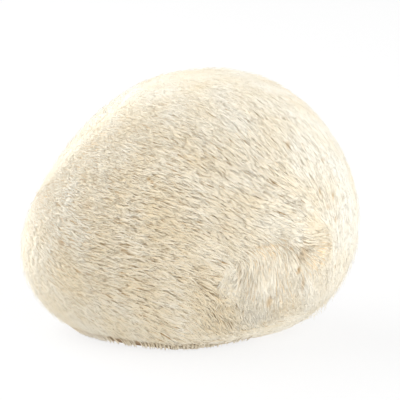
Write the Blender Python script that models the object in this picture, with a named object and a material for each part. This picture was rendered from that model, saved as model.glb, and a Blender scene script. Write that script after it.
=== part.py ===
"""A fresh lion's mane mushroom, resting on the flat face where it was cut from the wood.

It grew as one piece, so it is one closed solid: a lobed ball of flesh, cut level underneath, whose
whole skin is drawn out into leaning spines. All of them trail the way gravity pulled while it grew.

Metres, +Z up, +X to the right and +Y away from the viewer. The origin is the middle of the cut.
A place on the skin is named by two angles seen from the ball's middle: azimuth, 0 at the front (-Y)
and 90 at the right (+X), and elevation above the level.
"""

import math

import bmesh
import bpy
import numpy as np
from mathutils.bvhtree import BVHTree

# ---- driving dimensions ----------------------------------------------------------------------
HALF_WIDTH = 0.0655          # plain ball before its lobes, along X
HALF_DEPTH = 0.0605          # along Y
HALF_HEIGHT = 0.0570         # along Z
MIDDLE = np.array([0.011, 0.003, 0.050])   # its height is how far the middle stands above the cut
FULLNESS = 2.15              # power of the ball's equation: 2 is an ellipsoid, more is boxier

SPINE_COUNT = 3300           # before the cut takes away those underneath
SPINE_LIFT = 0.0064          # how far a tip stands above the skin it grows from
SPINE_TRAIL_OLD = 0.0070     # how far a tip trails at the top of the growth, where spines are short
SPINE_TRAIL_YOUNG = 0.0115   # and at its lower end, where they hang longest
RIM_LIFT = 0.3               # share of the lift that is left at the cut, where they are pressed flat
RIM_HEIGHT = 0.014           # up to this height above the cut
TIP_CLEARANCE = 0.0006       # the lowest tips stay this far above the cut
ROOT_JITTER = 0.14           # how far a root strays from even spacing, as a share of that spacing
SHORTEST_TRAIL = 0.82        # of the trail at its place, for the least trailing spine
LOWEST_TIP = 0.985           # of the radius at its place, for the lowest tip
DRAWN_BACK = 0.8             # share of its reach that a spine keeps when it meets another
ROUNDS = 12                  # at most this many rounds of drawing back
SEED = 11

# Direction of gravity while it grew: the mushroom now lies turned, with its old top to the left.
GROWTH_DOWN = np.array([0.86, -0.14, -0.50])

# Swells (+) and hollows (-): name, azimuth, elevation, height as a share of the radius, angular reach.
LOBES = [
    ("right belly", 90, -15, 0.090, 34),
    ("right shoulder", 90, 25, 0.020, 34),
    ("right crown", 90, 62, 0.070, 34),
    ("left slope", -90, 25, -0.162, 34),
    ("left shoulder", -90, 54, -0.055, 18),
    ("left belly", -90, -15, 0.110, 34),
    ("left underside", -90, -42, 0.040, 26),
    ("right underside", 90, -40, 0.012, 18),
    ("under the curtain", 44, -52, -0.030, 14),
    ("front foot", -8, -52, 0.035, 20),
    ("front left swell", -42, -12, 0.020, 24),
    ("front brow", -5, 25, 0.020, 24),
    ("curtain", 31, -28, 0.040, 14),
    ("pit in the curtain", 34, -23, -0.010, 3),
    ("pucker", 48, -8, -0.030, 6),
    ("groove under the pucker", 50, -18, -0.020, 6),
    ("parting above the pucker", 52, 5, -0.030, 8),
    ("parting at the flank", 55, 20, -0.025, 9),
    ("parting at the shoulder", 62, 38, -0.020, 10),
    ("back right swell", 135, -5, 0.035, 28),
    ("back brow", 170, 32, 0.030, 26),
    ("back hollow", 195, -5, -0.030, 18),
    ("back left swell", 232, -8, 0.045, 26),
]

# Local ways that the coat is combed: name, azimuth, elevation, angular reach, strength, direction.
COMBED = [
    ("across the left cheek", -45, 8, 30, 3.5, (0.98, -0.2, -0.08)),
    ("level over the cheek", -42, -8, 16, 2.0, (0.98, -0.2, 0.0)),
    ("round the left rim", -100, 25, 35, 2.5, (0.7, -0.6, 0.3)),
    ("down the upper left", -45, 26, 16, 1.0, (0.5, -0.4, -0.7)),
    ("over the brow", -5, 64, 22, 1.0, (0.6, -0.4, -0.7)),
    ("over the right of the crown", 46, 54, 20, 1.8, (0.4, -0.3, -0.9)),
    ("down the right flank", 76, 10, 20, 3.0, (-0.2, -0.1, -1.0)),
    ("level, into the parting", 40, 12, 12, 2.2, (1.0, 0.2, -0.15)),
    ("up beside the pucker", 52, 0, 6, 3.0, (1.0, 0.2, 0.5)),
    ("down the curtain", 31, -9.5, 4.9, 200.0, (-0.1, 0.3, -1.0)),
    ("down the left side of the curtain", 22, -11, 3.6, 100.0, (-0.6, 0.1, -1.0)),
    ("down the right side of the curtain", 40, -10, 3.6, 100.0, (0.45, 0.4, -1.0)),
    ("down the low part of the curtain", 31, -21, 8, 4.0, (0.0, 0.3, -1.0)),
    ("down to the left of the curtain", 12, -32, 12, 1.4, (0.0, -0.3, -1.0)),
    ("round the lower right", 62, -17, 11, 1.6, (0.1, 0.3, -1.0)),
    ("down to the cut on the left", -60, -46, 18, 3.0, (0.4, -0.1, -1.0)),
    ("down to the cut at the front", -28, -50, 14, 3.0, (0.1, -0.3, -1.0)),
]


# ---- the ball and its lobes ------------------------------------------------------------------
def unit(vectors):
    """Each row divided by its own length."""
    return vectors / np.linalg.norm(vectors, axis=-1, keepdims=True)


def bearing(azimuth, elevation):
    """The unit vector that points from the middle to a place given by its two angles."""
    a = math.radians(azimuth)
    e = math.radians(elevation)
    return np.array([math.sin(a) * math.cos(e), -math.cos(a) * math.cos(e), math.sin(e)])


def nearness(directions, azimuth, elevation, reach):
    """1 at the named place, falling as a bell curve with the angle from it."""
    cosine = np.clip(directions @ bearing(azimuth, elevation), -1.0, 1.0)
    return np.exp(-(np.degrees(np.arccos(cosine)) / reach) ** 2)


def radius(directions):
    """Distance from the middle to the spine tips: a superellipsoid times one plus its lobes."""
    half = np.array([HALF_WIDTH, HALF_DEPTH, HALF_HEIGHT])
    ball = (np.abs(directions / half) ** FULLNESS).sum(axis=1) ** (-1.0 / FULLNESS)
    swell = np.ones(len(directions))
    for _, azimuth, elevation, height, reach in LOBES:
        swell += height * nearness(directions, azimuth, elevation, reach)
    return ball * swell


def tips_surface(directions):
    """The points of the outermost surface, which the spine tips reach."""
    return MIDDLE + directions * radius(directions)[:, None]


def lift_at(points):
    """How deep the skin lies below the tips: the full lift, less near the cut."""
    share = np.clip(points[:, 2] / RIM_HEIGHT, 0.0, 1.0)
    share = share * share * (3.0 - 2.0 * share)
    return SPINE_LIFT * (RIM_LIFT + (1.0 - RIM_LIFT) * share)


def skin_surface(directions):
    """The points where the spines have their roots, a lift below the tips."""
    tips = tips_surface(directions)
    return tips - directions * lift_at(tips)[:, None]


def sunflower(count, generator):
    """Unit vectors spread evenly over a ball by the golden angle, each moved a little at random."""
    index = np.arange(count) + 0.5
    polar = np.arccos(1.0 - 2.0 * index / count)
    turn = math.pi * (1.0 + math.sqrt(5.0)) * index
    points = np.stack([np.cos(turn) * np.sin(polar), np.sin(turn) * np.sin(polar), np.cos(polar)], axis=1)
    spacing = math.sqrt(4.0 * math.pi / count)
    return unit(points + generator.normal(0.0, ROOT_JITTER * spacing, points.shape))


# ---- the way that the spines lie ---------------------------------------------------------------
def combing(directions):
    """The way down while it grew, changed near each named place, at every one of the directions."""
    way = np.tile(GROWTH_DOWN, (len(directions), 1))
    for _, azimuth, elevation, reach, strength, local in COMBED:
        share = strength * nearness(directions, azimuth, elevation, reach)
        way += share[:, None] * unit(np.array(local))
    return unit(way)


def spine_tips(roots, generator):
    """Where each spine ends: downstream of its root along the skin, out at the tips' surface."""
    directions = unit(roots - MIDDLE)
    way = combing(directions)
    along = unit(way - directions * (way * directions).sum(axis=1)[:, None])
    youth = 0.5 + 0.5 * directions @ unit(GROWTH_DOWN)
    trail = SPINE_TRAIL_OLD + (SPINE_TRAIL_YOUNG - SPINE_TRAIL_OLD) * youth
    trail *= generator.uniform(SHORTEST_TRAIL, 1.0, len(roots))
    ends = unit(roots + along * trail[:, None] - MIDDLE)
    tips = MIDDLE + ends * (radius(ends) * generator.uniform(LOWEST_TIP, 1.0, len(roots)))[:, None]
    reach = tips - roots
    room = roots[:, 2] - TIP_CLEARANCE
    share = np.where(-reach[:, 2] > room, np.maximum(room, 0.0) / np.maximum(-reach[:, 2], 1e-9), 1.0)
    return roots + reach * share[:, None]


# ---- the solid -----------------------------------------------------------------------------------
def cut_ball(generator):
    """The bare skin as a closed triangle mesh, cut level at the floor. Also its side faces."""
    bm = bmesh.new()
    points = sunflower(SPINE_COUNT // 2, generator)
    for point in points:
        bm.verts.new(point)
    bmesh.ops.convex_hull(bm, input=bm.verts)
    bm.verts.ensure_lookup_table()
    places = skin_surface(np.array([vert.co for vert in bm.verts]))
    for vert, place in zip(bm.verts, places):
        vert.co = place
    whole = bm.verts[:] + bm.edges[:] + bm.faces[:]
    bmesh.ops.bisect_plane(
        bm, geom=whole, dist=1e-6, plane_co=(0.0, 0.0, 0.0), plane_no=(0.0, 0.0, -1.0), clear_outer=True
    )
    sides = bm.faces[:]
    rim = [edge for edge in bm.edges if edge.is_boundary]
    bmesh.ops.edgeloop_fill(bm, edges=rim)
    bmesh.ops.recalc_face_normals(bm, faces=bm.faces)
    return bm, sides


def crossing_spines(bm, spines):
    """The spines whose faces cut through a face that they share no corner with."""
    bm.faces.index_update()
    tree = BVHTree.FromBMesh(bm)
    faces = bm.faces[:]
    corners = [set(face.verts) for face in faces]
    found = set()
    for first, second in tree.overlap(tree):
        if first < second and not corners[first] & corners[second]:
            found |= (corners[first] | corners[second]) & spines
    return found


def grow_spines(bm, sides, generator):
    """Raises every side face into a leaning pyramid, and draws back those that meet another."""
    raised = bmesh.ops.poke(bm, faces=sides)["verts"]
    roots = np.array([vert.co for vert in raised])
    tips = spine_tips(roots, generator)
    for vert, tip in zip(raised, tips):
        vert.co = tip
    root_of = dict(zip(raised, roots))
    spines = set(raised)
    for _ in range(ROUNDS):
        bm.faces.ensure_lookup_table()
        crossing = crossing_spines(bm, spines)
        if not crossing:
            break
        for vert in crossing:
            root = root_of[vert]
            vert.co = root + DRAWN_BACK * (np.array(vert.co) - root)
    return len(crossing)


def flesh_material():
    """Cream-white flesh, matt and a little warm."""
    material = bpy.data.materials.new("cream_flesh")
    material.use_nodes = True
    shader = material.node_tree.nodes["Principled BSDF"]
    shader.inputs["Base Color"].default_value = (0.84, 0.76, 0.61, 1.0)
    shader.inputs["Roughness"].default_value = 0.75
    shader.inputs["Metallic"].default_value = 0.0
    return material


def fruiting_body():
    """The whole mushroom as one named object."""
    generator = np.random.default_rng(SEED)
    bm, sides = cut_ball(generator)
    left_crossing = grow_spines(bm, sides, generator)
    mesh = bpy.data.meshes.new("fruiting_body")
    bm.to_mesh(mesh)
    bm.free()
    mesh.materials.append(flesh_material())
    body = bpy.data.objects.new("fruiting_body", mesh)
    bpy.context.scene.collection.objects.link(body)
    mesh.calc_loop_triangles()
    low = np.min([vert.co for vert in mesh.vertices], axis=0)
    high = np.max([vert.co for vert in mesh.vertices], axis=0)
    print("fruiting_body:", len(mesh.loop_triangles), "triangles,", left_crossing, "spines still cross")
    print("size in mm:", np.round((high - low) * 1000.0, 1))
    return body


for old in list(bpy.data.objects):
    bpy.data.objects.remove(old)
fruiting_body()
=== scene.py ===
# %% [markdown]
# # A lion's mane mushroom, spine by spine
#
# The subject is one fresh lion's mane mushroom, 140 mm across, resting on the flat place where it was
# cut off. It is a lobed ball of firm white flesh that has no cap and no gills: its whole skin hangs
# with soft spines, less than a millimetre thick. They trailed straight down while it grew. Since then
# it was picked and laid on its side, so nearly all of them now run from the upper left to the lower
# right, and down the right edge they stand almost upright.
#
# The lesson is how to build a coat of more than a hundred thousand separate spines without hair
# particles: each spine is a slim spindle worked out with numpy, and all the spindles of one region
# are joined in one mesh.

# %% The imported model
import math

import bpy
import numpy as np
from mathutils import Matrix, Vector


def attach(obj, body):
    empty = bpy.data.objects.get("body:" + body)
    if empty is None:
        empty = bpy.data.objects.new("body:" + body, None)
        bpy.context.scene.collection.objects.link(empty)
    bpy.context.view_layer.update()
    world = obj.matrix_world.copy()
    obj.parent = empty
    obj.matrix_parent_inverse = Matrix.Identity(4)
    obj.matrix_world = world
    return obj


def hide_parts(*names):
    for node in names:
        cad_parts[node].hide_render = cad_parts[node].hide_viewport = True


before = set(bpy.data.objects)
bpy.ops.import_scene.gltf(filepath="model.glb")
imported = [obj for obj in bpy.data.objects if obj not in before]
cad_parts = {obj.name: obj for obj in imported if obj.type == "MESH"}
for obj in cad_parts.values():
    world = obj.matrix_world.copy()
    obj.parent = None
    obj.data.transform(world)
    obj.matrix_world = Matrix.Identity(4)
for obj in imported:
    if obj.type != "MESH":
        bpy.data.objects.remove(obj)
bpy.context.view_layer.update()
SEED = 20
rng = np.random.default_rng(SEED)

# %% [markdown]
# ## The ball
#
# The head is nearly an ellipsoid, but no real one is even: this one is flat on its upper left, full
# low on both sides, and has a small hanging curtain at the lower right with a pucker beside it. A form
# like that is easiest as a radius: for every direction from the middle, how far away are the spine
# tips? A superellipsoid gives the plain ball, and each swell or hollow multiplies it by one plus a
# bell curve of the angle from a named place. The numbers are those of the solid, in metres.

# %% The radius of the coat in every direction
HALF_SIZES = np.array([0.0655, 0.0605, 0.0570])
MIDDLE = np.array([0.011, 0.003, 0.050])
FULLNESS = 2.15

# name: azimuth (0 at the front, 90 at the right), elevation, height as a share of the radius, reach
LOBES = {
    "right belly": (90, -15, 0.090, 34),
    "right shoulder": (90, 25, 0.020, 34),
    "right crown": (90, 62, 0.070, 34),
    "left slope": (-90, 25, -0.162, 34),
    "left shoulder": (-90, 54, -0.055, 18),
    "left belly": (-90, -15, 0.110, 34),
    "left underside": (-90, -42, 0.040, 26),
    "right underside": (90, -40, 0.012, 18),
    "under the curtain": (44, -52, -0.030, 14),
    "front foot": (-8, -52, 0.035, 20),
    "front left swell": (-42, -12, 0.020, 24),
    "front brow": (-5, 25, 0.020, 24),
    "curtain": (31, -28, 0.040, 14),
    "pit in the curtain": (34, -23, -0.010, 3),
    "pucker": (48, -8, -0.030, 6),
    "groove under the pucker": (50, -18, -0.020, 6),
    "parting above the pucker": (52, 5, -0.030, 8),
    "parting at the flank": (55, 20, -0.025, 9),
    "parting at the shoulder": (62, 38, -0.020, 10),
    "back right swell": (135, -5, 0.035, 28),
    "back brow": (170, 32, 0.030, 26),
    "back hollow": (195, -5, -0.030, 18),
    "back left swell": (232, -8, 0.045, 26),
}


def unit(vectors):
    """Each vector divided by its own length."""
    return vectors / np.linalg.norm(vectors, axis=-1, keepdims=True)


def bearing(azimuth, elevation):
    """Unit vector to a place: (sin a cos e, -cos a cos e, sin e)."""
    a = math.radians(azimuth)
    e = math.radians(elevation)
    return np.array([math.sin(a) * math.cos(e), -math.cos(a) * math.cos(e), math.sin(e)])


def nearness(directions, azimuth, elevation, reach):
    """Bell curve exp(-(angle / reach)^2) of the angle between each direction and the named place."""
    cosine = np.clip(directions @ bearing(azimuth, elevation), -1.0, 1.0)
    return np.exp(-((np.degrees(np.arccos(cosine)) / reach) ** 2))


def radius(directions):
    """Superellipsoid (|x/a|^p + |y/b|^p + |z/c|^p)^(-1/p), times one plus the sum of the lobes."""
    ball = (np.abs(directions / HALF_SIZES) ** FULLNESS).sum(axis=-1) ** (-1.0 / FULLNESS)
    swell = np.ones(directions.shape[:-1])
    for azimuth, elevation, height, reach in LOBES.values():
        swell += height * nearness(directions, azimuth, elevation, reach)
    return ball * swell


three_ways = np.array([[0, -1, 0], [1, 0, 0], [0, 0, 1.0]])
print("radius to the front, right, top:", np.round(radius(three_ways), 4))

# %% [markdown]
# ## Calm places
#
# The coat isn't the same all over. On the flanks, over the crown and on the hanging curtain the spines
# are finer, closer and better combed than on the rest of the front. One number says so, the calm: 0
# where it is shaggy, 1 or a little more where the coat is at its smoothest. It is again a sum of bell
# curves, and the cells below use it for the depth, the number, the thickness and the order of the
# spines. In the same places the spines may also be longer or shorter than elsewhere.

# %% How calm the coat is in every direction
# name: azimuth, elevation, reach, how calm, and the share by which its spines are longer
CALM_PLACES = {
    "left rim": (-98, 0, 46, 1.3, 0.30),
    "low on the left": (-52, -36, 20, 0.6, -0.10),
    "crown": (10, 82, 38, 1.1, 0.0),
    "middle of the front": (14, 12, 26, 0.4, 0.0),
    "upper left": (-50, 36, 20, 0.6, 0.0),
    "right flank": (82, 8, 36, 1.5, 0.10),
    "curtain": (31, -17, 10, 1.4, 0.30),
    "top of the curtain": (31, -5, 7, 0.6, 0.70),
    "low on the right": (56, -27, 18, 1.2, 0.0),
}
CALMEST = 1.16


def calmness(directions):
    """Each place's calm times its bell curve, added up, at most the calmest value."""
    total = np.zeros(directions.shape[:-1])
    for azimuth, elevation, reach, strength, _ in CALM_PLACES.values():
        total += strength * nearness(directions, azimuth, elevation, reach)
    return np.minimum(total, CALMEST)


def lengthening(directions):
    """1 plus each place's share of extra length times its bell curve."""
    total = np.ones(directions.shape[:-1])
    for azimuth, elevation, reach, _, longer in CALM_PLACES.values():
        total += longer * nearness(directions, azimuth, elevation, reach)
    return total


# %% [markdown]
# ## How deep the coat is
#
# A spine grows out of the flesh and leans over, so its tip stands only about a millimetre above its
# root. That depth is what makes the dark gaps between the tips: where it is large the coat looks
# shaggy, and where it is small it looks like velvet. Close to the cut the spines are squeezed
# between the flesh and whatever the mushroom lies on, so there the coat gets a little thinner too.

# %% Depth of the coat, and the flesh under it
OLD_DEPTH, YOUNG_DEPTH = 0.0009, 0.0013
CALM_DEPTH = 0.76             # share of the depth that is missing where the coat is calm
RIM_SHARE = 0.85
RIM_HEIGHT = 0.012
GROWTH_DOWN = np.array([0.86, -0.14, -0.50])


def smooth(share):
    """Smoothstep 3t^2 - 2t^3 of a share that is clipped to 0..1."""
    t = np.clip(share, 0.0, 1.0)
    return t * t * (3.0 - 2.0 * t)


def between(old, young, share):
    """From the old value to the young one, by a smoothstep of the share."""
    return old + (young - old) * smooth(share)


def youth_of(directions):
    """0 at the old top of the growth, 1 at its lower end: half of one plus the cosine to gravity."""
    return 0.5 + 0.5 * directions @ unit(GROWTH_DOWN)


def coat_depth(directions):
    """The depth for the place's youth, less where it is calm, and less by a smoothstep near the cut."""
    height = MIDDLE[2] + directions[..., 2] * radius(directions)
    depth = between(OLD_DEPTH, YOUNG_DEPTH, youth_of(directions))
    near_cut = between(RIM_SHARE, 1.0, height / RIM_HEIGHT)
    return depth * (1.0 - CALM_DEPTH * calmness(directions)) * near_cut


def surface(directions, level):
    """Points at a level of the coat: 0 on the flesh, 1 at the tips, in between in proportion."""
    reach = radius(directions) - (1.0 - level) * coat_depth(directions)
    return MIDDLE + directions * reach[..., None]


# %% [markdown]
# ## Which way the coat lies
#
# One vector explains nearly all of it: the old direction of gravity. Laid flat against the skin at
# each place it gives strokes that run level over the crown, slope down across the front and stand
# upright on the right edge, just as they do on the real one. Some places differ, as where two lobes
# press against each other. There a second direction is added, again with a bell curve. A large
# strength makes the change sudden, as at the top edge of the curtain.

# %% The combing of the coat
# name: azimuth, elevation, reach, strength against the old gravity, direction
COMBED = {
    "across the left cheek": (-45, 8, 30, 3.5, (0.98, -0.20, -0.08)),
    "level over the cheek": (-42, -8, 16, 2.0, (0.98, -0.20, 0.0)),
    "round the left rim": (-100, 25, 35, 2.5, (0.7, -0.6, 0.3)),
    "down the upper left": (-45, 26, 16, 1.0, (0.5, -0.4, -0.7)),
    "over the brow": (-5, 64, 22, 1.0, (0.6, -0.4, -0.7)),
    "over the right of the crown": (46, 54, 20, 1.8, (0.4, -0.3, -0.9)),
    "down the right flank": (76, 10, 20, 3.0, (-0.2, -0.1, -1.0)),
    "level, into the parting": (40, 12, 12, 2.2, (1.0, 0.20, -0.15)),
    "up beside the pucker": (52, 0, 6, 3.0, (1.0, 0.2, 0.5)),
    "down the curtain": (31, -9.5, 4.9, 200.0, (-0.1, 0.3, -1.0)),
    "down the left side of the curtain": (22, -11, 3.6, 100.0, (-0.6, 0.1, -1.0)),
    "down the right side of the curtain": (40, -10, 3.6, 100.0, (0.45, 0.4, -1.0)),
    "down the low part of the curtain": (31, -21, 8, 4.0, (0.0, 0.3, -1.0)),
    "down to the left of the curtain": (12, -32, 12, 1.4, (0.0, -0.3, -1.0)),
    "round the lower right": (62, -17, 11, 1.6, (0.1, 0.3, -1.0)),
    "down to the cut on the left": (-60, -46, 18, 3.0, (0.4, -0.1, -1.0)),
    "down to the cut at the front": (-28, -50, 14, 3.0, (0.1, -0.3, -1.0)),
}


def combing(directions):
    """Old gravity plus each local way times its bell curve, laid on the skin, v - (v.d) d, as a unit.

    The length of the part on the skin, as a share of the whole, says how firmly it is combed.
    """
    way = np.tile(GROWTH_DOWN, (len(directions), 1))
    for azimuth, elevation, reach, strength, local in COMBED.values():
        share = strength * nearness(directions, azimuth, elevation, reach)
        way = way + share[:, None] * unit(np.array(local))
    way = unit(way)
    on_skin = way - directions * (way * directions).sum(axis=1, keepdims=True)
    return unit(on_skin), np.linalg.norm(on_skin, axis=1)


# %% [markdown]
# ## Roots and locks
#
# Wet spines cling to their neighbours, so the coat falls into small locks, and the gaps between the
# locks are what the eye reads as strokes. Roots are spread evenly with the golden angle, as the
# seeds of a sunflower are. A second, coarser sunflower marks the middles of the locks, and every
# root joins the nearest one. The comparison is a dot product, done in slabs to save memory.
#
# Two kinds of spine share the work. A few are stout: they reach the top of the coat and show as
# strokes. The others are needles, which fill the room under and between them with fewer faces.

# %% Roots and their locks
PLACES = 190000               # evenly spread places where a spine may grow
OLD_SHARE, YOUNG_SHARE = 0.60, 0.48    # share of them that bear a spine
CALM_MORE = 0.80              # more of them by this share where the coat is calm
SHAGGY_STOUT, CALM_STOUT = 0.20, 0.05  # share of the spines that are stout, the others are needles
LOCKS = 6000
ROOT_JITTER, LOCK_JITTER = 0.35, 0.30  # how far they stray from even places, as a share of the spacing
LOWEST_ROOT = 0.0012                   # height over the floor
SLABS = 24                             # the comparison of roots and locks is done in so many parts


def sunflower(count, jitter):
    """Golden-angle directions, each moved by a normal step of jitter times their spacing."""
    index = np.arange(count) + 0.5
    polar = np.arccos(1.0 - 2.0 * index / count)
    turn = math.pi * (1.0 + math.sqrt(5.0)) * index
    points = [np.cos(turn) * np.sin(polar), np.sin(turn) * np.sin(polar), np.cos(polar)]
    points = np.stack(points, axis=1)
    return unit(points + rng.normal(0.0, jitter * math.sqrt(4.0 * math.pi / count), points.shape))


roots = sunflower(PLACES, ROOT_JITTER)
roots = roots[surface(roots, 0.0)[:, 2] > LOWEST_ROOT]
youth = youth_of(roots)
calm = calmness(roots)
kept = rng.uniform(size=len(roots)) < between(OLD_SHARE, YOUNG_SHARE, youth) * (1.0 + CALM_MORE * calm)
roots, youth, calm = roots[kept], youth[kept], calm[kept]
stout = rng.uniform(size=len(roots)) < between(SHAGGY_STOUT, CALM_STOUT, calm)
locks = sunflower(LOCKS, LOCK_JITTER)
slabs = [np.argmax(slab @ locks.T, axis=1) for slab in np.array_split(roots, SLABS)]
lock_of = np.concatenate(slabs)
print(len(roots), "spines in", len(np.unique(lock_of)), "locks,", int(stout.sum()), "of them stout")

# %% [markdown]
# ## Each spine's own character
#
# Age shows along the growth: near its old top the spines are short and crimped, at its lower end
# they hang long and straight. So length, lean and unruliness all follow one number, the youth, which
# runs from 0 at the old top to 1 at the lower end. On top of that every lock gets its own turn and
# length, and every spine another, so that nothing repeats. Where the combing has no clear way, as at
# the spot that all spines part from, they lie in all directions. A few thin needles stand out of the
# coat: this fluff gives the head its soft outline.

# %% Length, direction and bend of every spine
OLD_TRAIL, YOUNG_TRAIL = 0.0062, 0.0100
LOCK_TRAILS, OWN_TRAILS = (0.90, 1.08), (0.75, 1.0)    # times this, for its lock and for each spine
OLD_TURN, YOUNG_TURN = 11.0, 8.0      # degrees that a spine may be turned from the combing
LOCK_TURN, OWN_TURN = 0.45, 0.55      # shares of that turn that its lock and the spine itself decide
CALM_TURN = 0.75                      # share of that turn that is missing where the coat is calm
TANGLE = (12, -21, 8, 40.0)           # a messy whorl: azimuth, elevation, reach, added degrees
PARTED = (0.40, 120.0)                # where they part from one spot: firmness below this, added degrees
LOW_MIDDLE = (31, -17, 9, 0.20)       # in the curtain the lower spines lie under those of its top
STOUT_LONGER = 1.10                   # stout spines are longer by this factor
LOCK_LEVELS, OWN_LEVELS = (0.95, 1.04), (0.90, 1.0)    # how high their tips stand in the coat
NEEDLE_LEVELS = (0.56, 0.84)          # how high the tips of needles stand in the coat
CALM_LEVELS = (0.80, 1.00)            # and where it is calm
FLUFF_SHARES = (0.05, 0.09)           # of the needles are fluff, where it is shaggy and where calm
FLUFF_RISE = (0.0004, 0.0012)         # its tips stand this far out of the coat at most
FLUFF_POWER = 1.5                     # a power above 1 lets most of it end low
FLUFF_FINER = 0.45                    # and it is thinner by this share


def turned(vectors, axes, degrees):
    """Rodrigues' turn of vectors about unit axes at right angles to them: v cos t + (a x v) sin t."""
    angle = np.radians(degrees)[:, None]
    return vectors * np.cos(angle) + np.cross(axes, vectors) * np.sin(angle)


unruly = between(OLD_TURN, YOUNG_TURN, youth) * (1.0 - CALM_TURN * calm)
unruly = unruly + TANGLE[3] * nearness(roots, *TANGLE[:3])
lock_turn = rng.normal(0.0, LOCK_TURN, LOCKS)[lock_of]
own_turn = rng.normal(0.0, OWN_TURN, len(roots))
along, firmness = combing(roots)
unruly = unruly + PARTED[1] * (1.0 - smooth(firmness / PARTED[0]))
along = turned(along, roots, unruly * (lock_turn + own_turn))
trail = between(OLD_TRAIL, YOUNG_TRAIL, youth) * lengthening(roots)
trail = trail * rng.uniform(*LOCK_TRAILS, LOCKS)[lock_of] * rng.uniform(*OWN_TRAILS, len(roots))
trail = trail * np.where(stout, STOUT_LONGER, 1.0)
stout_level = rng.uniform(*LOCK_LEVELS, LOCKS)[lock_of] * rng.uniform(*OWN_LEVELS, len(roots))
lowest = between(NEEDLE_LEVELS[0], CALM_LEVELS[0], calm)
highest = between(NEEDLE_LEVELS[1], CALM_LEVELS[1], calm)
needle_level = lowest + (highest - lowest) * rng.uniform(size=len(roots))
top_level = np.where(stout, stout_level, needle_level)
top_level = top_level * (1.0 - LOW_MIDDLE[3] * nearness(roots, *LOW_MIDDLE[:3]))
fluff = (rng.uniform(size=len(roots)) < between(*FLUFF_SHARES, calm)) & ~stout
fluff_height = rng.uniform(size=len(roots)) ** FLUFF_POWER * between(*FLUFF_RISE, calm)
fluff_level = 1.0 + fluff_height / coat_depth(roots)
top_level = np.where(fluff, fluff_level, top_level)
print("trails from", round(trail.min() * 1000, 1), "to", round(trail.max() * 1000, 1), "mm")

# %% [markdown]
# ## Centre lines
#
# A spine's centre line is a row of stations. Going along it, the point slides over the ball by the
# trail and climbs through the coat to its top level. Because both moves are made in directions and
# levels, not in plain space, the line always follows the lobes and never dives into the flesh. A
# small sideways wave makes it look grown, and the last stations lean towards the tip of the lock.
#
# Two places differ. On the curtain the spines rise at once and lie level over those below. And along
# the front left edge of the cut the lowest ones hang down as a fringe: they are led together in small
# tufts, some tufts are missing, and the dark brown of the flesh low down shows in the gaps.

# %% Centre lines
STATIONS = np.array([0.0, 0.25, 0.50, 0.76, 1.0])
CLIMB, DRAPED_CLIMB = 0.50, 0.18       # the height follows the way along to this power
DRAPED = (31, -9, 11, 1.3)    # here long spines lie level over the others, and how strongly
SHAGGY_WAVE, CALM_WAVE = 0.00048, 0.00018                  # sideways swing
WAVE_TURNS = (0.8, 1.6)       # whole waves along a spine
OLD_CLING, YOUNG_CLING, FRINGE_CLING = 0.18, 0.25, 0.94    # how far tips are drawn together
CALM_LOOSER = 0.5             # share of that which is missing where the coat is calm
HALVINGS = 14                 # of the way down, to find a point on the coat at a height
FLOOR_GAP = 0.0004
FRINGE = (-56, -46, 30)       # where a fringe hangs over the cut: azimuth, elevation, reach
FRINGE_STRENGTH, FOOT_STRENGTH = 1.8, 1.6    # times its bell curve, for the fringe and the coat over it
FRINGE_HEIGHT = 0.0075        # its roots are lower than this
TUFTS = 230                   # so many tufts would go all round
TUFT_WIDTHS = (0.4, 1.6)      # against each other
FRINGE_OUT = 0.0017           # its tips stand out from the coat by this
FRINGE_FOOT = 0.0012          # its tufts end between the floor and this height
OWN_FOOT = (0.8, 1.2)         # times this for each of its spines
OPEN_SHARE = 0.18             # of its tufts are missing, which leaves gaps
TUFT_ROOT = 0.0034            # below this height no fringe spine has its root
COAT_FOOT = (0.0008, 0.0036)  # the other spines end above this height, away from the fringe and over it
SHORTEST = 0.35               # share of its length that is left to one that would end too low

side = unit(np.cross(along, roots))
root_points = surface(roots, 0.0)


def centre_lines(lengths):
    """Point at station s: slide length*s along, swing wave*sin, cling s^2, then climb to level s^p."""
    s = STATIONS[None, :, None]
    phase = 2.0 * math.pi * (phases + turns * s)
    slide = along[:, None, :] * (lengths[:, None, None] * s)
    swing = side[:, None, :] * (wave[:, None, None] * s * np.sin(phase))
    places = root_points[:, None, :] + slide + swing
    ends = places[:, -1, :]
    counts = np.bincount(lock_of, minlength=LOCKS)
    totals = np.stack([np.bincount(lock_of, ends[:, k], LOCKS) for k in range(3)], axis=1)
    lock_ends = (totals / np.maximum(counts, 1)[:, None])[lock_of]
    cling = (between(OLD_CLING, YOUNG_CLING, youth) * (1.0 - CALM_LOOSER * calm))[:, None, None]
    places = places + (lock_ends - ends)[:, None, :] * (cling * s**2)
    directions = unit(places - MIDDLE)
    level = top_level[:, None] * STATIONS[None, :] ** climb[:, None]
    return surface(directions.reshape(-1, 3), level.reshape(-1)).reshape(directions.shape)


def point_below(directions, heights):
    """Where the coat's outside has the given height under each direction, by halving the way down."""
    least, most = np.zeros(len(directions)), np.ones(len(directions))
    for _ in range(HALVINGS):
        middle = (least + most) / 2
        points = surface(unit(directions - middle[:, None] * np.array([0.0, 0.0, 1.0])), 1.0)
        too_low = points[:, 2] < heights
        least, most = np.where(too_low, least, middle), np.where(too_low, middle, most)
    return points


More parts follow.
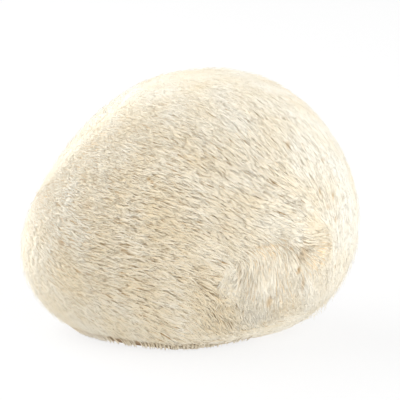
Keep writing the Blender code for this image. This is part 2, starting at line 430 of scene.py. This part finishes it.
def fringe_lines(chosen):
    """Straight from each root, down to the coat's foot, and together with the others of its tuft."""
    points, tuft = root_points[chosen], tuft_of[chosen]
    foot_height = rng.uniform(FLOOR_GAP, FRINGE_FOOT, TUFTS)[tuft] * rng.uniform(*OWN_FOOT, len(points))
    feet = point_below(roots[chosen], foot_height)
    counts = np.maximum(np.bincount(tuft, minlength=TUFTS), 1)
    totals = [np.bincount(tuft, feet[:, k], TUFTS) for k in range(3)]
    middles = np.stack(totals, axis=1) / counts[:, None]
    feet = feet + FRINGE_CLING * (middles[tuft] - feet)
    feet = feet + FRINGE_OUT * unit(roots[chosen] * np.array([1.0, 1.0, 0.0]))
    feet[:, 2] = foot_height
    return points[:, None, :] + (feet - points)[:, None, :] * STATIONS[None, :, None]


tuft_ends = np.cumsum(rng.uniform(*TUFT_WIDTHS, TUFTS))
way_round = 0.5 + np.arctan2(roots[:, 0], -roots[:, 1]) / (2.0 * math.pi)
tuft_of = np.minimum(np.searchsorted(tuft_ends / tuft_ends[-1], way_round), TUFTS - 1)
climb = between(CLIMB, DRAPED_CLIMB, DRAPED[3] * nearness(roots, *DRAPED[:3]))
wave = between(SHAGGY_WAVE, CALM_WAVE, calm)
phases = rng.uniform(0.0, 1.0, (len(roots), 1, 1))
turns = rng.uniform(*WAVE_TURNS, (len(roots), 1, 1))
lines = centre_lines(trail)
root_height, tip_height = root_points[:, 2], lines[:, -1, 2]
over_fringe = nearness(roots, *FRINGE)
coat_foot = between(*COAT_FOOT, FOOT_STRENGTH * over_fringe)
room = (root_height - coat_foot) / np.maximum(root_height - tip_height, 1e-6)
trail = np.where(tip_height < coat_foot, trail * np.clip(room, SHORTEST, 1.0), trail)
lines = centre_lines(trail)
hanging = rng.uniform(size=len(roots)) < FRINGE_STRENGTH * over_fringe
fringe = (root_height < FRINGE_HEIGHT) & hanging
lines[fringe] = fringe_lines(fringe)
lines[..., 2] = np.maximum(lines[..., 2], FLOOR_GAP)
bare = fringe & ((root_height < TUFT_ROOT) | (rng.uniform(size=TUFTS) < OPEN_SHARE)[tuft_of])
print(int(fringe.sum()), "fringe spines,", int(bare.sum()), "of them left out")
print("centre lines:", lines.shape, "lowest", round(float(lines[..., 2].min()) * 1000, 2), "mm")

# %% [markdown]
# ## Spindles
#
# A spine is a slim spindle: its root and its tip are points, and around each station between them goes
# a ring of three corners. Three sides are enough, because a spine is under two pixels wide and its
# shading is smooth. Stout spines have three rings and needles only one. The side vector is the same
# for a whole spine, which keeps its rings from twisting. The faces are the same pattern for every
# spine of a kind, so one small list of corners, plus an offset for each spine, makes them all.
#
# The spines also get a map: across is the way from root to tip, upwards is the spine's tone, a number
# that says how white or tan it is. All colour is a function of those two, so spines may share it.

# %% Rings, faces and the map of one region
SIDES = 3
RING_TURN = 0.25              # of the way from one corner of a ring to the next, that it is turned by
THICKNESS = np.array([0.0, 1.0, 1.0, 0.72, 0.0])       # ring radius at each station, points at both ends
OLD_RADIUS, YOUNG_RADIUS = 0.00026, 0.00033
OWN_RADIUS = (0.85, 1.15)     # times this for each spine
NEEDLE_FINER = 0.05           # share by which needles are thinner than stout spines
CALM_FINER = 0.40             # share by which calm spines are thinner
STOUT_STATIONS, NEEDLE_STATIONS = [0, 1, 2, 3, 4], [0, 3, 4]    # the root, the rings and the tip
ACROSS_MAP, UP_MAP = (0.02, 0.96), (0.03, 0.92)        # where the map begins, and how far it goes
TONE_STEP = 0.006             # on the map, from one side of a spine to the next


def tube_rings(points, sides_of, radii, thickness):
    """Ring corner = station + r (cos t * side + sin t * over), over = way x side."""
    way = unit(np.gradient(points, axis=1))
    across = unit(sides_of[:, None, :] - way * (way * sides_of[:, None, :]).sum(-1, keepdims=True))
    over = np.cross(way, across)
    angle = 2.0 * math.pi * (np.arange(SIDES) + RING_TURN) / SIDES
    ring = np.cos(angle)[:, None] * across[:, 1:-1, None, :]
    ring = ring + np.sin(angle)[:, None] * over[:, 1:-1, None, :]
    size = radii[:, None, None, None] * thickness[None, :, None, None]
    return points[:, 1:-1, None, :] + ring * size


def tube_pattern(rings):
    """Corners of one spine's faces: a point, bands of quads split in two, and a point again."""
    faces = [(1 + (k + 1) % SIDES, 1 + k, 0) for k in range(SIDES)]
    for ring in range(rings - 1):
        for k in range(SIDES):
            a = 1 + ring * SIDES + k
            b = 1 + ring * SIDES + (k + 1) % SIDES
            faces += [(a, b, b + SIDES), (a, b + SIDES, a + SIDES)]
    last = 1 + (rings - 1) * SIDES
    faces += [(last + k, last + (k + 1) % SIDES, 1 + rings * SIDES) for k in range(SIDES)]
    return np.array(faces)


def spine_arrays(chosen, stations):
    """Corners, faces and map places of the chosen spines, with rings at the given stations."""
    points = lines[chosen][:, stations]
    radii = between(OLD_RADIUS, YOUNG_RADIUS, youth[chosen]) * (1.0 - CALM_FINER * calm[chosen])
    radii = radii * rng.uniform(*OWN_RADIUS, len(points))
    radii = radii * np.where(stout[chosen], 1.0, 1.0 - NEEDLE_FINER)
    radii = radii * np.where(fluff[chosen], 1.0 - FLUFF_FINER, 1.0)
    rings = tube_rings(points, side[chosen], radii, THICKNESS[stations[1:-1]])
    corners = np.concatenate([points[:, :1], rings.reshape(len(points), -1, 3), points[:, -1:]], axis=1)
    corners[..., 2] = np.maximum(corners[..., 2], FLOOR_GAP / 2)
    pattern = tube_pattern(len(stations) - 2)
    per_spine = corners.shape[1]
    faces = pattern[None] + (np.arange(len(points)) * per_spine)[:, None, None]
    ring_stations = np.repeat(STATIONS[stations[1:-1]], SIDES)
    station_of = np.concatenate([STATIONS[:1], ring_stations, STATIONS[-1:]])[pattern]
    turn_of = np.where((pattern == 0) | (pattern == per_spine - 1), 1, (pattern - 1) % SIDES)
    turn_of = turn_of + np.where((turn_of == 0) & (turn_of.max(axis=1, keepdims=True) == 2), SIDES, 0)
    spots = np.empty(faces.shape + (2,))
    spots[..., 0] = ACROSS_MAP[0] + ACROSS_MAP[1] * station_of[None]
    spots[..., 1] = UP_MAP[0] + UP_MAP[1] * tone[chosen][:, None, None] + TONE_STEP * turn_of[None]
    return corners.reshape(-1, 3), faces.reshape(-1, 3), spots.reshape(-1, 2)


def joined_spines(name, chosen):
    """One mesh object of all the chosen spines, with its map."""
    corners, faces, spots = spine_arrays(chosen & stout, STOUT_STATIONS)
    more_corners, more_faces, more_spots = spine_arrays(chosen & ~stout, NEEDLE_STATIONS)
    faces = np.concatenate([faces, more_faces + len(corners)])
    corners = np.concatenate([corners, more_corners])
    mesh = bpy.data.meshes.new(name)
    mesh.vertices.add(len(corners))
    mesh.vertices.foreach_set("co", corners.ravel())
    mesh.loops.add(faces.size)
    mesh.loops.foreach_set("vertex_index", faces.ravel())
    mesh.polygons.add(len(faces))
    mesh.polygons.foreach_set("loop_start", np.arange(0, faces.size, 3))
    mesh.update(calc_edges=True)
    mesh.shade_smooth()
    places_on_map = np.concatenate([spots, more_spots])
    mesh.uv_layers.new(name="OFBake").uv.foreach_set("vector", places_on_map.ravel())
    spines = bpy.data.objects.new(name, mesh)
    bpy.context.scene.collection.objects.link(spines)
    print(name, int(chosen.sum()), "spines,", len(mesh.polygons), "triangles")
    return spines


# %% [markdown]
# ## Tone
#
# Low at the front and on the left, where the coat is sheltered, it is painted a little more tan: a
# painted shade. On the right edge and on the curtain it is painted almost white: a painted light.
# A smooth field of soft waves gives slow patches, the locks differ from each other, and each spine
# differs a little more. The deeper its tip lies in the coat, the more tan a spine is painted: a painted
# shade, which makes the gaps between the top ones warm instead of grey. The sum is clipped, and the
# highest tones are kept for a few dry spines, which are brown all along.

# %% Slow patches from a sum of waves
TONE_AND_LIGHT_PATCHES = {
    "middle left": (-20, 8, 26, 0.22),
    # painted shade: more tan low at the front, where the coat is sheltered
    "low front": (6, -36, 29, 0.28),
    # painted shade: more tan low on the left, where the coat is sheltered
    "low on the left": (-50, -34, 22, 0.26),
    "above the pucker": (48, 2, 9, 0.15),
    # painted light: the curtain is painted whiter to make up for its shade
    "curtain": (31, -14, 12, -0.30),
    "whorl": (12, -22, 7, 0.18),
    # painted light: the lit right edge is painted almost white
    "right edge": (85, 20, 34, -0.22),
    "low on the right": (56, -24, 16, 0.05),
}
MEAN_TONE, WAVE_TONE = 0.33, 0.14      # the mean, and how far the waves move it
WAVES = (24, 0.009, 0.035)    # how many, the shortest and the longest
LOCK_TONE, OWN_TONE = 0.07, 0.09       # how much locks differ, and spines
CALM_EVEN = 0.7               # share of the differences that is missing where the coat is calm
# painted shade: deeper tips are painted more tan, which darkens the gaps in the coat
DEEP_SHADE_TAN = 1.00               # spines are more tan by this times the depth of their tips in the coat
MOST_TAN = 0.80               # the tone of the most tan spines, apart from brown ones
BROWN_SHARE = 0.012           # of the spines are brown all along, none where the coat is calm


def soft_waves(points, count, shortest, longest):
    """Mean of sines with random ways and wave lengths: smooth, seeded and never repeating."""
    ways = unit(rng.normal(size=(count, 3)))
    lengths = rng.uniform(shortest, longest, count)
    phases = rng.uniform(0.0, 2.0 * math.pi, count)
    waves = np.sin(points @ (ways / lengths[:, None]).T * 2.0 * math.pi + phases)
    return waves.sum(axis=1) / math.sqrt(count)


tone = MEAN_TONE + WAVE_TONE * soft_waves(root_points, *WAVES)
for azimuth, elevation, reach, strength in TONE_AND_LIGHT_PATCHES.values():
    tone = tone + strength * nearness(roots, azimuth, elevation, reach)
own_tone_and_shade = rng.normal(0.0, LOCK_TONE, LOCKS)[lock_of] + rng.normal(0.0, OWN_TONE, len(roots))
# painted shade: tan by the depth of the tip in the coat
own_tone_and_shade = own_tone_and_shade + DEEP_SHADE_TAN * np.clip(1.0 - top_level, 0.0, 1.0)
tone = tone + own_tone_and_shade * (1.0 - CALM_EVEN * calm)
tone = np.clip(tone, 0.0, MOST_TAN)
tone = np.where(rng.uniform(size=len(roots)) < BROWN_SHARE * (1.0 - calm), 1.0, tone)
print("tones: mean", round(float(tone.mean()), 2), "brown:", int((tone > MOST_TAN).sum()), "spines")

# %% [markdown]
# ## Spine material
#
# A spine is solid flesh, so it is matt and only a bit waxy. It is palest along its upper half and more
# yellow at the root, which lies in the shade under the other spines: that yellow is painted shade. Two
# colour ramps along the spine, one for the whitest and one for the most tan spines, are mixed by the
# tone, and a third one takes over on the brown spines.

# %% Helpers for colours


def ramp(nodes, name, stops):
    """A colour ramp node with (position, colour) stops."""
    node = nodes.new("ShaderNodeValToRGB")
    node.label = name
    elements = node.color_ramp.elements
    while len(elements) < len(stops):
        elements.new(0.5)
    for element, (position, colour) in zip(elements, stops):
        element.position = position
        element.color = (*colour, 1.0)
    return node


def blended(nodes, link, factor, first, second):
    """The output of a node that mixes two colour outputs by a factor output."""
    node = nodes.new("ShaderNodeMix")
    node.data_type = "RGBA"
    link(factor, node.inputs["Factor"])
    link(first, node.inputs["A"])
    link(second, node.inputs["B"])
    return node.outputs["Result"]


# %% [markdown]
# ## Bruises, painted shade and the brown foot
#
# A picked mushroom gets small tan and brown marks: slits where the coat parted and a bruised spot.
# The hollows of the pucker, the groove and the pit in the curtain are marked tan as well. The marks
# along the fold over the curtain and down its left edge are painted shade. Low on the left, where it
# rests, the colour turns dark brown towards the cut. The coat and the flesh carry the same marks, so
# each kind is a node group, placed in both materials. A mark is an ellipsoid in space: its mask is the
# distance from its middle, measured in its own radii, turned into 1 inside and 0 outside.

# %% Node groups for marks
MARKS = {
    # name: azimuth, elevation, radii in mm along X, Y and Z, strength
    "pucker": (48, -7, (2.8, 3.5, 3.8), 0.40),
    # painted shade: the next two marks darken the fold over the curtain and its left edge
    "fold over the curtain": (31, -2, (9.0, 9.0, 0.8), 0.20),
    "left edge of the curtain": (20.5, -13, (0.9, 4.0, 7.0), 0.22),
    "red spot in the groove": (46, -13, (1.0, 2.0, 1.9), 0.80),
    "groove": (50, -19, (0.9, 2.5, 4.0), 0.45),
    "pit in the curtain": (34, -23.5, (1.7, 2.5, 3.2), 0.55),
    "spot above the pucker": (41, -4, (1.3, 2.0, 0.9), 0.40),
    "streak on the brow, high": (-15, 24, (1.0, 1.4, 0.9), 0.80),
    "streak on the brow, middle": (-13.5, 23, (0.9, 1.4, 0.9), 0.60),
    "streak on the brow, low": (-12, 21.5, (0.8, 1.4, 0.8), 0.55),
    "red stroke in the middle": (-18, 12, (2.2, 2.0, 0.6), 0.50),
    "tan patch on the cheek": (-39, 12, (2.4, 3.0, 1.8), 0.35),
    "tan patch low on the cheek": (-50, -3, (2.0, 3.0, 2.6), 0.30),
    "slit on the crown": (49, 33, (1.2, 2.5, 2.6), 0.50),
    "spot on the shoulder": (65, 24, (1.0, 2.0, 1.3), 0.30),
    "slit on the flank": (57.5, 14, (0.5, 1.5, 1.9), 0.60),
    "spot on the flank": (60, 8, (1.3, 2.0, 1.3), 0.35),
    "long slit, high": (63.5, 11, (0.45, 2.0, 2.2), 0.55),
    "long slit, low": (63, 3, (0.5, 2.0, 1.8), 0.55),
    "stroke on the flank": (59, -5, (2.0, 2.5, 0.6), 0.50),
}
MARK_COLOUR = (0.68, 0.48, 0.24, 1.0)
# dark brown low on the left towards the cut, strongest at the roots of the spines
FOOT_BROWN = (0.20, 0.11, 0.05, 1.0)
FOOT_BROWN_HEIGHT = 0.0070
FOOT_BROWN_END = (0.028, 0.046)     # it fades out between these places to the right


def new_group(name, inputs, output):
    """A shader node group with the given sockets. Its nodes, its link function and its two ends."""
    group = bpy.data.node_groups.new(name, "ShaderNodeTree")
    for label, kind in inputs:
        group.interface.new_socket(name=label, in_out="INPUT", socket_type=kind)
    group.interface.new_socket(name=output[0], in_out="OUTPUT", socket_type=output[1])
    start, end = group.nodes.new("NodeGroupInput"), group.nodes.new("NodeGroupOutput")
    return group, group.nodes, group.links.new, start, end


def mark_group():
    """Mask of one mark: strength times 1 minus a smoothstep of |(position - middle) / radii|."""
    inputs = [("Position", "NodeSocketVector"), ("Middle", "NodeSocketVector"),
              ("Radii", "NodeSocketVector"), ("Strength", "NodeSocketFloat")]
    group, nodes, link, start, end = new_group("mark", inputs, ("Mask", "NodeSocketFloat"))
    offset = nodes.new("ShaderNodeVectorMath")
    offset.operation = "SUBTRACT"
    link(start.outputs["Position"], offset.inputs[0])
    link(start.outputs["Middle"], offset.inputs[1])
    scaled = nodes.new("ShaderNodeVectorMath")
    scaled.operation = "DIVIDE"
    link(offset.outputs[0], scaled.inputs[0])
    link(start.outputs["Radii"], scaled.inputs[1])
    length = nodes.new("ShaderNodeVectorMath")
    length.operation = "LENGTH"
    link(scaled.outputs[0], length.inputs[0])
    fall = nodes.new("ShaderNodeMapRange")
    fall.interpolation_type = "SMOOTHSTEP"
    fall.inputs["From Min"].default_value = 0.1
    fall.inputs["From Max"].default_value = 1.3
    fall.inputs["To Min"].default_value = 1.0
    fall.inputs["To Max"].default_value = 0.0
    link(length.outputs["Value"], fall.inputs["Value"])
    times = nodes.new("ShaderNodeMath")
    times.operation = "MULTIPLY"
    link(fall.outputs["Result"], times.inputs[0])
    link(start.outputs["Strength"], times.inputs[1])
    link(times.outputs[0], end.inputs["Mask"])
    return group


def brown_foot_group():
    """A colour that turns brown, by smoothsteps of the height and of the way right, times a share."""
    inputs = [("Color", "NodeSocketColor"), ("Position", "NodeSocketVector"),
              ("Share", "NodeSocketFloat")]
    group, nodes, link, start, end = new_group("brown_foot", inputs, ("Color", "NodeSocketColor"))
    place = nodes.new("ShaderNodeSeparateXYZ")
    link(start.outputs["Position"], place.inputs[0])
    share = start.outputs["Share"]
    for axis, low, high in (("Z", 0.0, FOOT_BROWN_HEIGHT), ("X", *FOOT_BROWN_END)):
        fall = nodes.new("ShaderNodeMapRange")
        fall.interpolation_type = "SMOOTHSTEP"
        fall.inputs["From Min"].default_value = low
        fall.inputs["From Max"].default_value = high
        fall.inputs["To Min"].default_value = 1.0
        fall.inputs["To Max"].default_value = 0.0
        link(place.outputs[axis], fall.inputs["Value"])
        times = nodes.new("ShaderNodeMath")
        times.operation = "MULTIPLY"
        link(fall.outputs["Result"], times.inputs[0])
        link(share, times.inputs[1])
        share = times.outputs[0]
    mix = nodes.new("ShaderNodeMix")
    mix.data_type = "RGBA"
    mix.inputs["B"].default_value = FOOT_BROWN
    link(share, mix.inputs["Factor"])
    link(start.outputs["Color"], mix.inputs["A"])
    link(mix.outputs["Result"], end.inputs["Color"])
    return group


mark = mark_group()
brown_foot = brown_foot_group()


def marked(nodes, link, position, colour):
    """The colour output with all marks on it: their masks' maximum mixes in the mark's colour."""
    total = None
    for azimuth, elevation, radii, strength in MARKS.values():
        node = nodes.new("ShaderNodeGroup")
        node.node_tree = mark
        link(position, node.inputs["Position"])
        node.inputs["Middle"].default_value = surface(bearing(azimuth, elevation), 0.8)
        node.inputs["Radii"].default_value = [0.001 * r for r in radii]
        node.inputs["Strength"].default_value = strength
        if total is None:
            total = node.outputs["Mask"]
            continue
        larger = nodes.new("ShaderNodeMath")
        larger.operation = "MAXIMUM"
        link(total, larger.inputs[0])
        link(node.outputs["Mask"], larger.inputs[1])
        total = larger.outputs[0]
    mix = nodes.new("ShaderNodeMix")
    mix.data_type = "RGBA"
    mix.inputs["B"].default_value = MARK_COLOUR
    link(total, mix.inputs["Factor"])
    link(colour, mix.inputs["A"])
    return mix.outputs["Result"]


def browned_at_foot(nodes, link, position, colour, share):
    """The colour output, turned dark brown at the foot on the left."""
    node = nodes.new("ShaderNodeGroup")
    node.node_tree = brown_foot
    link(colour, node.inputs["Color"])
    link(position, node.inputs["Position"])
    link(share, node.inputs["Share"])
    return node.outputs["Color"]


# %% Material of the spines
# painted shade: both ramps are darker and more yellow at the root, which lies under the other spines
WHITE_SPINE = [(0.0, (0.93, 0.86, 0.69)), (0.35, (0.95, 0.90, 0.79)), (0.65, (0.96, 0.93, 0.84))]
TAN_SPINE = [
    (0.0, (0.80, 0.57, 0.29)), (0.4, (0.89, 0.73, 0.47)),
    (0.8, (0.91, 0.80, 0.59)), (1.0, (0.90, 0.77, 0.55)),
]
BROWN_SPINE = [(0.0, (0.46, 0.30, 0.14)), (1.0, (0.60, 0.43, 0.23))]


def spine_material():
    """Matt cream spines whose colour follows the map: along the spine, and by its tone."""
    material = bpy.data.materials.new("cream_spines")
    material.use_nodes = True
    nodes = material.node_tree.nodes
    link = material.node_tree.links.new
    shader = nodes["Principled BSDF"]
    shader.inputs["Roughness"].default_value = 0.62
    shader.inputs["Specular IOR Level"].default_value = 0.30
    on_map = nodes.new("ShaderNodeUVMap")
    on_map.uv_map = "OFBake"
    split = nodes.new("ShaderNodeSeparateXYZ")
    link(on_map.outputs["UV"], split.inputs[0])
    along_spine, tone_of_spine = split.outputs["X"], split.outputs["Y"]
    colours = []
    ramps = (("white spine", WHITE_SPINE), ("tan spine", TAN_SPINE), ("brown spine", BROWN_SPINE))
    for name, stops in ramps:
        node = ramp(nodes, name, stops)
        link(along_spine, node.inputs[0])
        colours.append(node.outputs["Color"])
    brownness = nodes.new("ShaderNodeMapRange")
    brownness.inputs["From Min"].default_value = 0.86
    brownness.inputs["From Max"].default_value = 0.94
    link(tone_of_spine, brownness.inputs["Value"])
    colour = blended(nodes, link, tone_of_spine, colours[0], colours[1])
    colour = blended(nodes, link, brownness.outputs["Result"], colour, colours[2])
    place = nodes.new("ShaderNodeTexCoord")
    colour = marked(nodes, link, place.outputs["Object"], colour)
    # the dark brown foot is strongest at the spines' roots and gone past 0.8 of their length
    towards_root = nodes.new("ShaderNodeMapRange")
    towards_root.inputs["From Min"].default_value = 0.2
    towards_root.inputs["From Max"].default_value = 0.8
    towards_root.inputs["To Min"].default_value = 1.0
    towards_root.inputs["To Max"].default_value = 0.0
    link(along_spine, towards_root.inputs["Value"])
    colour = browned_at_foot(nodes, link, place.outputs["Object"], colour, towards_root.outputs["Result"])
    link(colour, shader.inputs["Base Color"])
    return material


cream_spines = spine_material()

# %% [markdown]
# ## The coat, region by region
#
# A mesh of nearly a million triangles is slow to handle, so the coat is divided into eight regions,
# like the corners of a cube: every spine goes to the corner that its root is nearest to.

# %% Eight joined meshes of spines
REGIONS = {
    f"spines_{height}_{face}_{hand}": (x, y, z)
    for height, z in (("upper", 1), ("lower", -1))
    for face, y in (("front", -1), ("back", 1))
    for hand, x in (("left", -1), ("right", 1))
}
nearest_region = np.argmax(roots @ np.array(list(REGIONS.values()), float).T, axis=1)
nearest_region = np.where(bare, -1, nearest_region)
triangles = 0
for number, name in enumerate(REGIONS):
    region = joined_spines(name, nearest_region == number)
    region.data.materials.append(cream_spines)
    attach(region, "root")
    triangles += len(region.data.polygons)
print(triangles, "triangles of spines in all")

# %% [markdown]
# ## The flesh
#
# Between the spines a little of the flesh shows, warm and shaded, and underneath is the cut. The
# flesh is one closed surface over two angles, and everything that would be below the cut is pressed
# up to it, which gives the flat face. It takes the place of the solid.

# %% Flesh as a surface over two angles
AROUND, DOWN = 120, 80


def flesh_grid():
    """Directions over azimuth and polar angle, at level 0 of the coat, with z raised to the cut."""
    azimuth = 2.0 * math.pi * np.arange(AROUND) / AROUND
    polar = math.pi * (np.arange(1, DOWN) / DOWN)
    a, p = np.meshgrid(azimuth, polar)
    directions = np.stack([np.cos(a) * np.sin(p), np.sin(a) * np.sin(p), np.cos(p)], axis=-1)
    points = surface(directions.reshape(-1, 3), 0.0)
    poles = surface(np.array([[0.0, 0.0, 1.0], [0.0, 0.0, -1.0]]), 0.0)
    points = np.concatenate([points, poles])
    points[:, 2] = np.maximum(points[:, 2], 0.0)
    return points


def flesh_faces():
    """Quads between neighbouring rows, and fans of triangles to the two poles."""
    rows = DOWN - 1
    j, i = np.meshgrid(np.arange(rows - 1), np.arange(AROUND), indexing="ij")
    after = (i + 1) % AROUND
    row, next_row = j * AROUND, (j + 1) * AROUND
    quads = np.stack([row + i, next_row + i, next_row + after, row + after], -1)
    k = np.arange(AROUND)
    top = np.stack([k, (k + 1) % AROUND, np.full(AROUND, rows * AROUND)], -1)
    last = (rows - 1) * AROUND
    bottom = np.stack([last + (k + 1) % AROUND, last + k, np.full(AROUND, rows * AROUND + 1)], -1)
    return quads.reshape(-1, 4).tolist() + top.tolist() + bottom.tolist()


flesh_mesh = bpy.data.meshes.new("flesh")
flesh_mesh.from_pydata(flesh_grid().tolist(), [], flesh_faces())
flesh_mesh.update(calc_edges=True)
flesh_mesh.shade_smooth()
flesh = bpy.data.objects.new("flesh", flesh_mesh)
bpy.context.scene.collection.objects.link(flesh)
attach(flesh, "root")
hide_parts("fruiting_body")
print("flesh:", len(flesh_mesh.polygons), "faces")

# %% [markdown]
# ## Flesh material
#
# The flesh is the same stuff as the spines, but it shows only in the gaps, where it is painted tan: a
# painted shade. On the cut it is dry, white and spongy, with fine pores whose middles are painted
# darker, a painted shade. Height decides which is which: the cut is at zero.

# %% Material of the flesh


def flesh_material():
    """Tan as painted shade between the spines, white and porous on the cut, by the height in object
    coordinates.
    """
    material = bpy.data.materials.new("cut_flesh")
    material.use_nodes = True
    nodes = material.node_tree.nodes
    link = material.node_tree.links.new
    shader = nodes["Principled BSDF"]
    shader.inputs["Roughness"].default_value = 0.80
    shader.inputs["Specular IOR Level"].default_value = 0.25
    place = nodes.new("ShaderNodeTexCoord")
    split = nodes.new("ShaderNodeSeparateXYZ")
    link(place.outputs["Object"], split.inputs[0])
    on_cut = nodes.new("ShaderNodeMapRange")
    on_cut.inputs["From Min"].default_value = 0.0001
    on_cut.inputs["From Max"].default_value = 0.0005
    link(split.outputs["Z"], on_cut.inputs["Value"])
    pores = nodes.new("ShaderNodeTexVoronoi")
    pores.inputs["Scale"].default_value = 700.0
    link(place.outputs["Object"], pores.inputs["Vector"])
    # painted shade: each pore is painted darker at its middle
    cut_colour = ramp(nodes, "pores in the cut", [
        (0.0, (0.55, 0.43, 0.27)), (0.25, (0.84, 0.78, 0.66)), (1.0, (0.90, 0.86, 0.77)),
    ])
    link(pores.outputs["Distance"], cut_colour.inputs[0])
    blotches = nodes.new("ShaderNodeTexNoise")
    blotches.inputs["Scale"].default_value = 160.0
    link(place.outputs["Object"], blotches.inputs["Vector"])
    # painted shade: the skin shows only in the gaps between the spines, so its tan stands for their
    # shade
    skin_colour = ramp(nodes, "skin between the spines", [
        (0.35, (0.82, 0.63, 0.38)), (0.65, (0.90, 0.73, 0.50)),
    ])
    link(blotches.outputs["Fac"], skin_colour.inputs[0])
    skin = marked(nodes, link, place.outputs["Object"], skin_colour.outputs["Color"])
    skin = browned_at_foot(nodes, link, place.outputs["Object"], skin, on_cut.outputs["Result"])
    colour = blended(nodes, link, on_cut.outputs["Result"], cut_colour.outputs["Color"], skin)
    link(colour, shader.inputs["Base Color"])
    bump = nodes.new("ShaderNodeBump")
    bump.inputs["Strength"].default_value = 0.5
    bump.inputs["Distance"].default_value = 0.0005
    link(pores.outputs["Distance"], bump.inputs["Height"])
    link(bump.outputs["Normal"], shader.inputs["Normal"])
    return material


flesh_mesh.materials.append(flesh_material())

# %% [markdown]
# ## Floor, light and camera
#
# The picture is high-key: a white sweep and light from all around. Around an object as pale as this
# one, much light comes back from the sheet that it stands on. Here the sheet is dark grey but glows,
# which keeps it an even white and still leaves a faint shadow. A white world adds to the fill, and
# three large soft lamps give the shape: from the left, from the front right and from the right. The
# camera stands in front, a little above, with a long lens, so that there is almost no perspective.

# %% Floor
FLOOR_SIZE = 8.0
FLOOR_GLOW = 0.81


def white_floor():
    """A level sheet under the mushroom, white by its own even glow."""
    half = FLOOR_SIZE / 2
    mesh = bpy.data.meshes.new("floor")
    corners = [(-half, -half, 0), (half, -half, 0), (half, half, 0), (-half, half, 0)]
    mesh.from_pydata(corners, [], [(0, 1, 2, 3)])
    material = bpy.data.materials.new("white_floor")
    material.use_nodes = True
    shader = material.node_tree.nodes["Principled BSDF"]
    shader.inputs["Base Color"].default_value = (0.13, 0.13, 0.13, 1.0)
    shader.inputs["Roughness"].default_value = 0.9
    shader.inputs["Emission Color"].default_value = (1.0, 1.0, 1.0, 1.0)
    shader.inputs["Emission Strength"].default_value = FLOOR_GLOW
    mesh.materials.append(material)
    floor = bpy.data.objects.new("floor", mesh)
    bpy.context.scene.collection.objects.link(floor)


white_floor()

# %% Lights
WORLD_STRENGTH = 0.45


def soft_lamp(name, place, target, size, power):
    """A square area lamp at a place, turned to face a target."""
    lamp = bpy.data.lights.new(name, "AREA")
    lamp.size = size
    lamp.energy = power
    holder = bpy.data.objects.new(name, lamp)
    holder.location = place
    holder.rotation_euler = (Vector(target) - Vector(place)).to_track_quat("-Z", "Y").to_euler()
    bpy.context.scene.collection.objects.link(holder)


world = bpy.data.worlds.new("white_room")
bpy.context.scene.world = world
world.use_nodes = True
world.node_tree.nodes["Background"].inputs["Color"].default_value = (1.0, 1.0, 1.0, 1.0)
world.node_tree.nodes["Background"].inputs["Strength"].default_value = WORLD_STRENGTH
AIM = (0.012, 0.0, 0.05)
soft_lamp("left_softbox", (-1.00, 0.35, 0.45), AIM, 2.2, 36.0)
soft_lamp("front_softbox", (0.92, -0.98, 0.33), AIM, 2.0, 26.0)
soft_lamp("right_softbox", (1.00, 0.10, 0.45), AIM, 2.0, 5.0)
bpy.context.scene.view_settings.view_transform = "Standard"

# %% [markdown]
# The frame's scale is known from the picture: the mushroom, 140 mm across, fills 336 of 400 pixels.
# The point on the floor under the middle of the cut falls at pixel (160, 331). Those two facts fix
# where a camera with a given elevation and distance has to look.

# %% Camera
ELEVATION = 12.0
DISTANCE = 1.10
FRAME_PIXELS = 400
METRES_PER_PIXEL = 0.140 / 336
CUT_PIXEL = (160, 331)
SENSOR = 36.0

tilt = math.radians(ELEVATION)
target = Vector((
    (FRAME_PIXELS / 2 - CUT_PIXEL[0]) * METRES_PER_PIXEL,
    0.0,
    (CUT_PIXEL[1] - FRAME_PIXELS / 2) * METRES_PER_PIXEL / math.cos(tilt),
))
lens_data = bpy.data.cameras.new("camera")
lens_data.sensor_width = SENSOR
lens_data.lens = SENSOR * DISTANCE / (FRAME_PIXELS * METRES_PER_PIXEL)
camera = bpy.data.objects.new("camera", lens_data)
camera.location = target + Vector((0.0, -math.cos(tilt), math.sin(tilt))) * DISTANCE
camera.rotation_euler = (math.radians(90.0 - ELEVATION), 0.0, 0.0)
bpy.context.scene.collection.objects.link(camera)
bpy.context.scene.camera = camera
print("lens", round(lens_data.lens, 1), "mm, looking at", [round(x, 4) for x in target])
